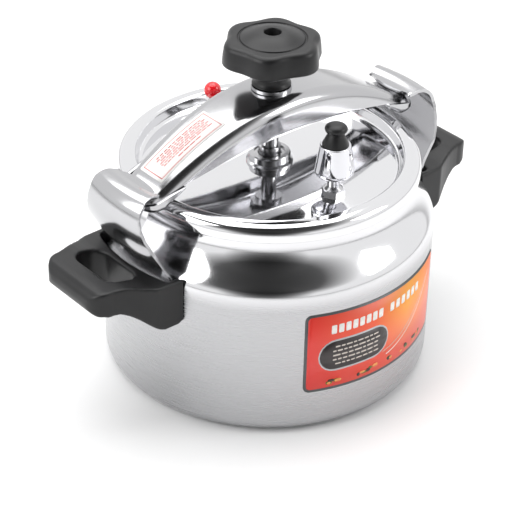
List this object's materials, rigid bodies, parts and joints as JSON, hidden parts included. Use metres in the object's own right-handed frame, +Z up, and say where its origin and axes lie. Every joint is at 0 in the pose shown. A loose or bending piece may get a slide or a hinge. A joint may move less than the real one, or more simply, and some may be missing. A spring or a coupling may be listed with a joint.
{
  "type": "clamp-beam pressure cooker",
  "caption": "Round aluminium pressure cooker with side handles, hook straps, an arched clamp beam with a lobed knob, a vent weight and a pressure indicator.",
  "frame": {"origin": "centre of the flat base, on the surface that the pot stands on", "axes": "+Z up along the pot's axis; +X along the beam and the two handles; -Y towards the belly label and the vent weight"},
  "size_m": [0.294, 0.2003, 0.2114],
  "materials": {
    "spun_aluminium": "satin belly, polished shoulder",
    "polished_aluminium": "mirror polished",
    "stainless_steel": "polished",
    "plain_steel": "machined",
    "chromed_brass": "chrome plated",
    "phenolic": "moulded, satin black",
    "red_plastic": "glossy red",
    "silicone": "matt off-white",
    "printed_label": "printed film"
  },
  "bodies": {
    "pot": {"pot_body": "spun_aluminium", "belly_label": "printed_label", "strap_left": "stainless_steel", "strap_right": "stainless_steel", "strap_rivets_left": "plain_steel", "strap_rivets_right": "plain_steel", "bracket_left": "plain_steel", "bracket_right": "plain_steel", "handle_left": "phenolic", "handle_right": "phenolic", "handle_screws_left": "plain_steel", "handle_screws_right": "plain_steel"},
    "lid": {"lid_shell": "polished_aluminium", "lid_gasket": "silicone", "lid_boss": "plain_steel", "foot_retainer": "plain_steel", "vent_tube": "plain_steel", "vent_washer": "silicone", "vent_nut": "plain_steel", "vent_filter": "plain_steel", "indicator_housing": "polished_aluminium", "indicator_washer": "silicone", "indicator_nut": "plain_steel"},
    "foot": {"screw_foot": "plain_steel"},
    "beam": {"clamp_beam": "stainless_steel", "beam_bush": "plain_steel", "bush_nut": "plain_steel", "beam_label": "printed_label"},
    "screw": {"clamp_screw": "plain_steel", "screw_clip": "plain_steel", "knob": "phenolic", "knob_screw": "plain_steel"},
    "weight": {"weight_body": "chromed_brass", "weight_cap": "phenolic", "weight_needle": "plain_steel"},
    "indicator": {"indicator_pin": "plain_steel", "indicator_ball": "red_plastic"}
  },
  "joints": [
    {"name": "lid_lift", "type": "slide", "parent": "pot", "child": "lid", "axis": [0, 0, 1], "range_m": [0, 0.12]},
    {"name": "beam_swing", "type": "hinge", "parent": "lid", "child": "foot", "pos_m": [0, 0, 0.13], "axis": [0, 0, 1], "range_deg": [-45, 45]},
    {"name": "knob_turn", "type": "hinge", "parent": "foot", "child": "screw", "pos_m": [0, 0, 0.18], "axis": [0, 0, 1], "range_deg": [0, 540]},
    {"name": "beam_drop", "type": "slide", "parent": "foot", "child": "beam", "axis": [0, 0, 1], "range_m": [-0.003, 0]},
    {"name": "weight_lift", "type": "slide", "parent": "lid", "child": "weight", "axis": [0, 0, 1], "range_m": [0, 0.08]},
    {"name": "indicator_rise", "type": "slide", "parent": "lid", "child": "indicator", "axis": [0, 0, 1], "range_m": [0, 0.004]}
  ],
  "couplings": [
    {"joint": "knob_turn", "follows": "beam_drop", "rad_per_m": -3141.6}
  ]
}
